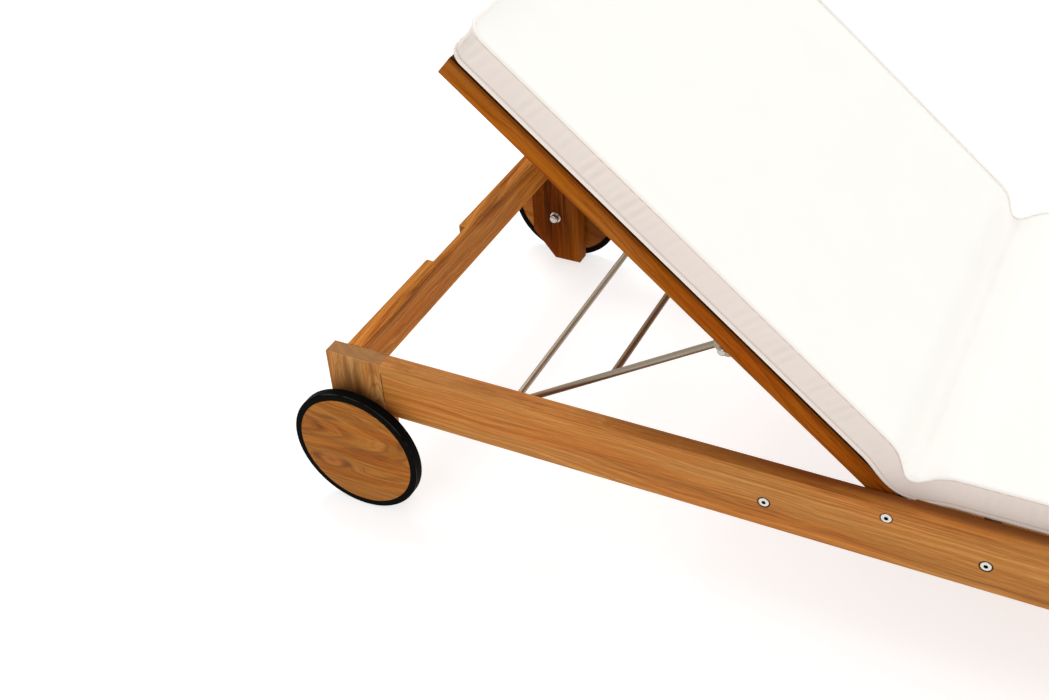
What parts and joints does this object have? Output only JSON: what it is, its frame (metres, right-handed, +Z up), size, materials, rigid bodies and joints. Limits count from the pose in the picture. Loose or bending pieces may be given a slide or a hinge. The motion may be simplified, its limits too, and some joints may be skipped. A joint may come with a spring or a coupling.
{
  "type": "reclining sun lounger",
  "caption": "Teak sun lounger with a reclining slatted backrest on a steel rod prop and ratchet, a boxed mattress and wheels at the head end.",
  "frame": {"origin": "on the ground under the middle of the lounger's box", "axes": "+Y runs from the foot end to the head end with the wheels, +Z is up, +X is square to both"},
  "size_m": [0.765, 2, 0.8071],
  "materials": {
    "teak_frame": "oiled teak, satin",
    "teak_slats": "sanded teak, satin",
    "teak_wheel": "oiled teak, satin",
    "tyre": "smooth black rubber",
    "steel": "stainless steel, satin",
    "cushion_fabric": "off-white outdoor fabric, sewn"
  },
  "bodies": {
    "root": {"axle_bolts": "steel", "axle_dome_nuts": "steel", "axle_spacers": "steel", "foot_cross_rail": "teak_frame", "foot_leg_left": "teak_frame", "foot_leg_right": "teak_frame", "head_cross_rail": "teak_frame", "head_leg_left": "teak_frame", "head_leg_right": "teak_frame", "hinge_bolts": "steel", "hinge_cross_rail": "teak_frame", "hinge_washers": "steel", "ledger_bolts": "steel", "ratchet_batten_left": "teak_frame", "ratchet_batten_right": "teak_frame", "seat_cushion": "cushion_fabric", "seat_ledger_left": "teak_frame", "seat_ledger_right": "teak_frame", "seat_slat_01": "teak_slats", "seat_slat_02": "teak_slats", "seat_slat_03": "teak_slats", "seat_slat_04": "teak_slats", "seat_slat_05": "teak_slats", "seat_slat_06": "teak_slats", "seat_slat_07": "teak_slats", "seat_slat_08": "teak_slats", "seat_slat_09": "teak_slats", "seat_slat_10": "teak_slats", "seat_slat_screws": "steel", "side_rail_left": "teak_frame", "side_rail_right": "teak_frame"},
    "backrest": {"back_bottom_rail": "teak_frame", "back_cushion": "cushion_fabric", "back_slat_01": "teak_slats", "back_slat_02": "teak_slats", "back_slat_03": "teak_slats", "back_slat_04": "teak_slats", "back_slat_05": "teak_slats", "back_slat_06": "teak_slats", "back_slat_07": "teak_slats", "back_slat_08": "teak_slats", "back_slat_screws": "steel", "back_stile_left": "teak_frame", "back_stile_right": "teak_frame", "back_top_rail": "teak_frame", "bracket_screws": "steel", "pivot_bracket_left": "steel", "pivot_bracket_right": "steel"},
    "prop": {"prop_brace_rod": "steel", "prop_dome_nuts": "steel", "prop_foot_rod": "steel", "prop_pivot_rod": "steel", "prop_strut_left": "steel", "prop_strut_right": "steel"},
    "wheel_left": {"hub_plate_left": "steel", "tyre_left": "tyre", "wheel_disc_left": "teak_wheel"},
    "wheel_right": {"hub_plate_right": "steel", "tyre_right": "tyre", "wheel_disc_right": "teak_wheel"}
  },
  "joints": [
    {"name": "backrest_recline", "type": "hinge", "parent": "root", "child": "backrest", "pos_m": [0, 0.107, 0.247], "axis": [1, 0, 0], "range_deg": [-40, 20]},
    {"name": "prop_fold", "type": "hinge", "parent": "backrest", "child": "prop", "pos_m": [0, 0.34557, 0.40763], "axis": [1, 0, 0], "range_deg": [-36, 71]},
    {"name": "wheel_left_spin", "type": "hinge", "parent": "root", "child": "wheel_left", "pos_m": [-0.37, 0.893, 0.107], "axis": [1, 0, 0], "continuous": true},
    {"name": "wheel_right_spin", "type": "hinge", "parent": "root", "child": "wheel_right", "pos_m": [0.37, 0.893, 0.107], "axis": [1, 0, 0], "continuous": true}
  ],
  "couplings": [
    {"joint": "prop_fold", "follows": "backrest_recline", "ratio": -1.75}
  ]
}
